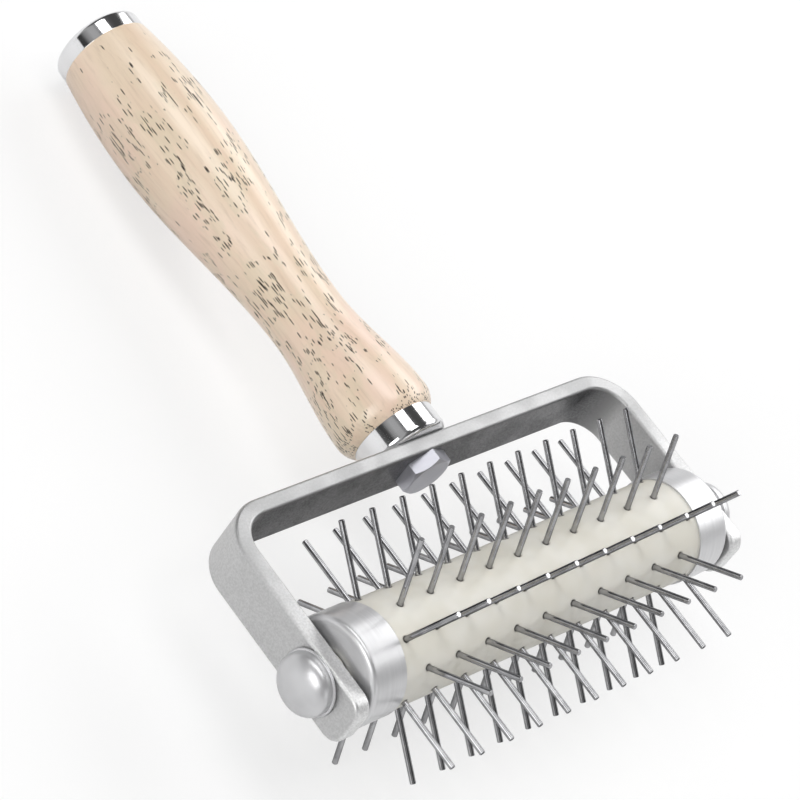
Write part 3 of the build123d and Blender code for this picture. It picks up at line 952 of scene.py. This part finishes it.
def table_surface():
    """Rings of radius r. The rim rises as a quarter of a circle: 0.5 - sqrt(0.25 - (r - 2.5)^2)."""
    radius = np.concatenate([np.linspace(0.02, 2.5, 12), 2.5 + 0.5 * np.sin(np.linspace(0.1, 1.5, 10))])
    height = 0.5 - np.sqrt(0.25 - np.clip(radius - 2.5, 0, 0.5) ** 2)
    angle = np.linspace(0, 2 * pi, 96, endpoint=False)
    rings = np.stack([radius[:, None] * np.cos(angle), radius[:, None] * np.sin(angle),
                      np.repeat(height[:, None], len(angle), 1)], -1)
    middle = len(radius) * len(angle)
    points = np.vstack([rings.reshape(-1, 3), [(0, 0, 0)]])
    return points, ring_faces(rings) + tip_faces(np.arange(len(angle)), middle, True)


table_mesh = bpy.data.meshes.new("table")
table_points, table_faces = table_surface()
table_mesh.from_pydata(table_points.tolist(), [], [face[::-1] for face in table_faces])
table_mesh.materials.append(table_material())
table = bpy.data.objects.new("table", table_mesh)
bpy.context.collection.objects.link(table)

scene = bpy.context.scene
scene.view_settings.view_transform = "Standard"
scene.world = bpy.data.worlds.new("room")
scene.world.use_nodes = True
room = scene.world.node_tree
direction = add_node(room, "ShaderNodeTexCoord").outputs["Generated"]
sideways = add_node(room, "ShaderNodeSeparateXYZ", Vector=direction).outputs[0]
ramp = add_node(room, "ShaderNodeValToRGB", Fac=arithmetic(room, "MULTIPLY_ADD", sideways, 0.5, 0.5))
room.links.new(ramp.outputs[0], room.nodes["Background"].inputs["Color"])
# The room's tone by the X of the direction, which runs from -1 at the left to 1 at the right.
tones = {
    -0.95: 0.12, -0.88: 0.04, -0.82: 0.06, -0.76: 0.26, -0.62: 0.44, -0.45: 0.42, -0.33: 0.15,
    0.33: 0.07, 0.6: 0.08, 0.68: 0.6, 1.0: 0.55,
}
stops = ramp.color_ramp.elements
while len(stops) < len(tones):
    stops.new(0.5)
for stop, (x, tone) in zip(stops, tones.items()):
    stop.position = 0.5 + 0.5 * x
    stop.color = (tone, tone, tone, 1)

# %% [markdown]
# Four softboxes light the tool, each a rectangle that faces it. The long overhead one makes the soft
# shadow under the roller. The one at the right puts a highlight along every rounded piece, the one
# at the left, on the camera's side, opens up the handle and the caps, and a weak one in front does
# the same for the roller. In the polished pieces the lamps show as white bands, with the grey room
# between them.

# %% Lamps
lamp_distance = 1.3


def put(thing, axes, spot):
    """Place an object in the scene, with the columns of axes as its own X, Y and Z."""
    bpy.context.collection.objects.link(thing)
    rows = [(*row, at) for row, at in zip(axes.tolist(), spot.tolist())]
    thing.matrix_world = Matrix(rows + [(0, 0, 0, 1)])


def softbox(name, direction, size, power):
    """A lamp facing the tool. Its first side lies level, at a right angle to its direction."""
    lamp = bpy.data.lights.new(name, "AREA")
    lamp.shape = "RECTANGLE"
    lamp.size, lamp.size_y = size
    lamp.energy = power
    away = np.array(direction) / np.linalg.norm(direction)
    level = np.cross((0.0, 0.0, 1.0), away)
    level = level / np.linalg.norm(level)
    axes = np.stack([level, np.cross(away, level), away], 1)
    put(bpy.data.objects.new(name, lamp), axes, away * lamp_distance)


softbox("overhead", (-0.06, 0.25, 0.97), (0.5, 1.5), 7.9)
softbox("right", (0.80, 0.05, 0.58), (1.5, 0.7), 8.7)
softbox("left", (-0.85, -0.12, 0.5), (0.9, 0.65), 7.0)
softbox("front", (0.1, -0.95, 0.40), (0.9, 0.5), 1.6)

# %% [markdown]
# The camera stands where the photographer's did. Its place and its three directions were worked out
# from the pins' tips and roots, which make a known lattice, and are given in the tool's own frame.

# %% Camera
camera_place = np.array([-574.7, -188.3, 541.0])
camera_right = np.array([0.67068141, -0.58157406, 0.46038903])
camera_down = np.array([-0.24291555, -0.75866839, -0.60449509])
picture_size = 800
focal_pixels = 3501.06

camera_data = bpy.data.cameras.new("camera")
camera_data.sensor_width = 36.0
camera_data.lens = focal_pixels * camera_data.sensor_width / picture_size
camera_data.clip_end = 20.0
camera = bpy.data.objects.new("camera", camera_data)
looking = np.stack([camera_right, -camera_down, -np.cross(camera_right, camera_down)]) @ tool_axes
spot = on_table(camera_place)
put(camera, looking.T, spot)
scene.camera = camera
print("lens", round(camera_data.lens, 1), "mm, camera height", round(float(spot[2]), 3), "m")
